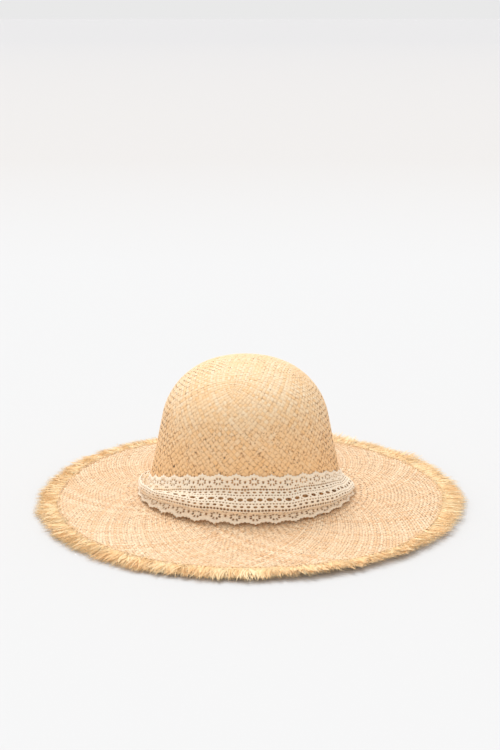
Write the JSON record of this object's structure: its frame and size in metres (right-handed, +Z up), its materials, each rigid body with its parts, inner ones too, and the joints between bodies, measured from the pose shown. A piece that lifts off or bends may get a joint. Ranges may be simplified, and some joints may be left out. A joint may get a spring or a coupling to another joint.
{
  "type": "straw sun hat",
  "caption": "Wide-brimmed woven straw sun hat with a rounded crown, a frayed brim edge and a folded crocheted lace band round the crown.",
  "frame": {"origin": "on the surface the hat lies on, under the middle of the brim", "axes": "+Z up through the crown, +Y towards the back of the hat, where the lace and the sweatband are joined; the front faces -Y"},
  "size_m": [0.43, 0.46, 0.145],
  "materials": {
    "straw": "satin",
    "frayed_straw": "satin",
    "cotton_lace": "matte",
    "cotton_tape": "matte",
    "sewing_thread": "matte"
  },
  "bodies": {
    "root": {"crown": "straw", "brim": "straw", "brim_fringe": "frayed_straw", "head_seam_stitching": "sewing_thread", "brim_edge_stitching": "sewing_thread", "sweatband": "cotton_tape", "sweatband_join_stitches": "sewing_thread", "lace_band": "cotton_lace", "lace_join_stitches": "sewing_thread", "lace_tack_stitches": "sewing_thread"}
  },
  "joints": []
}
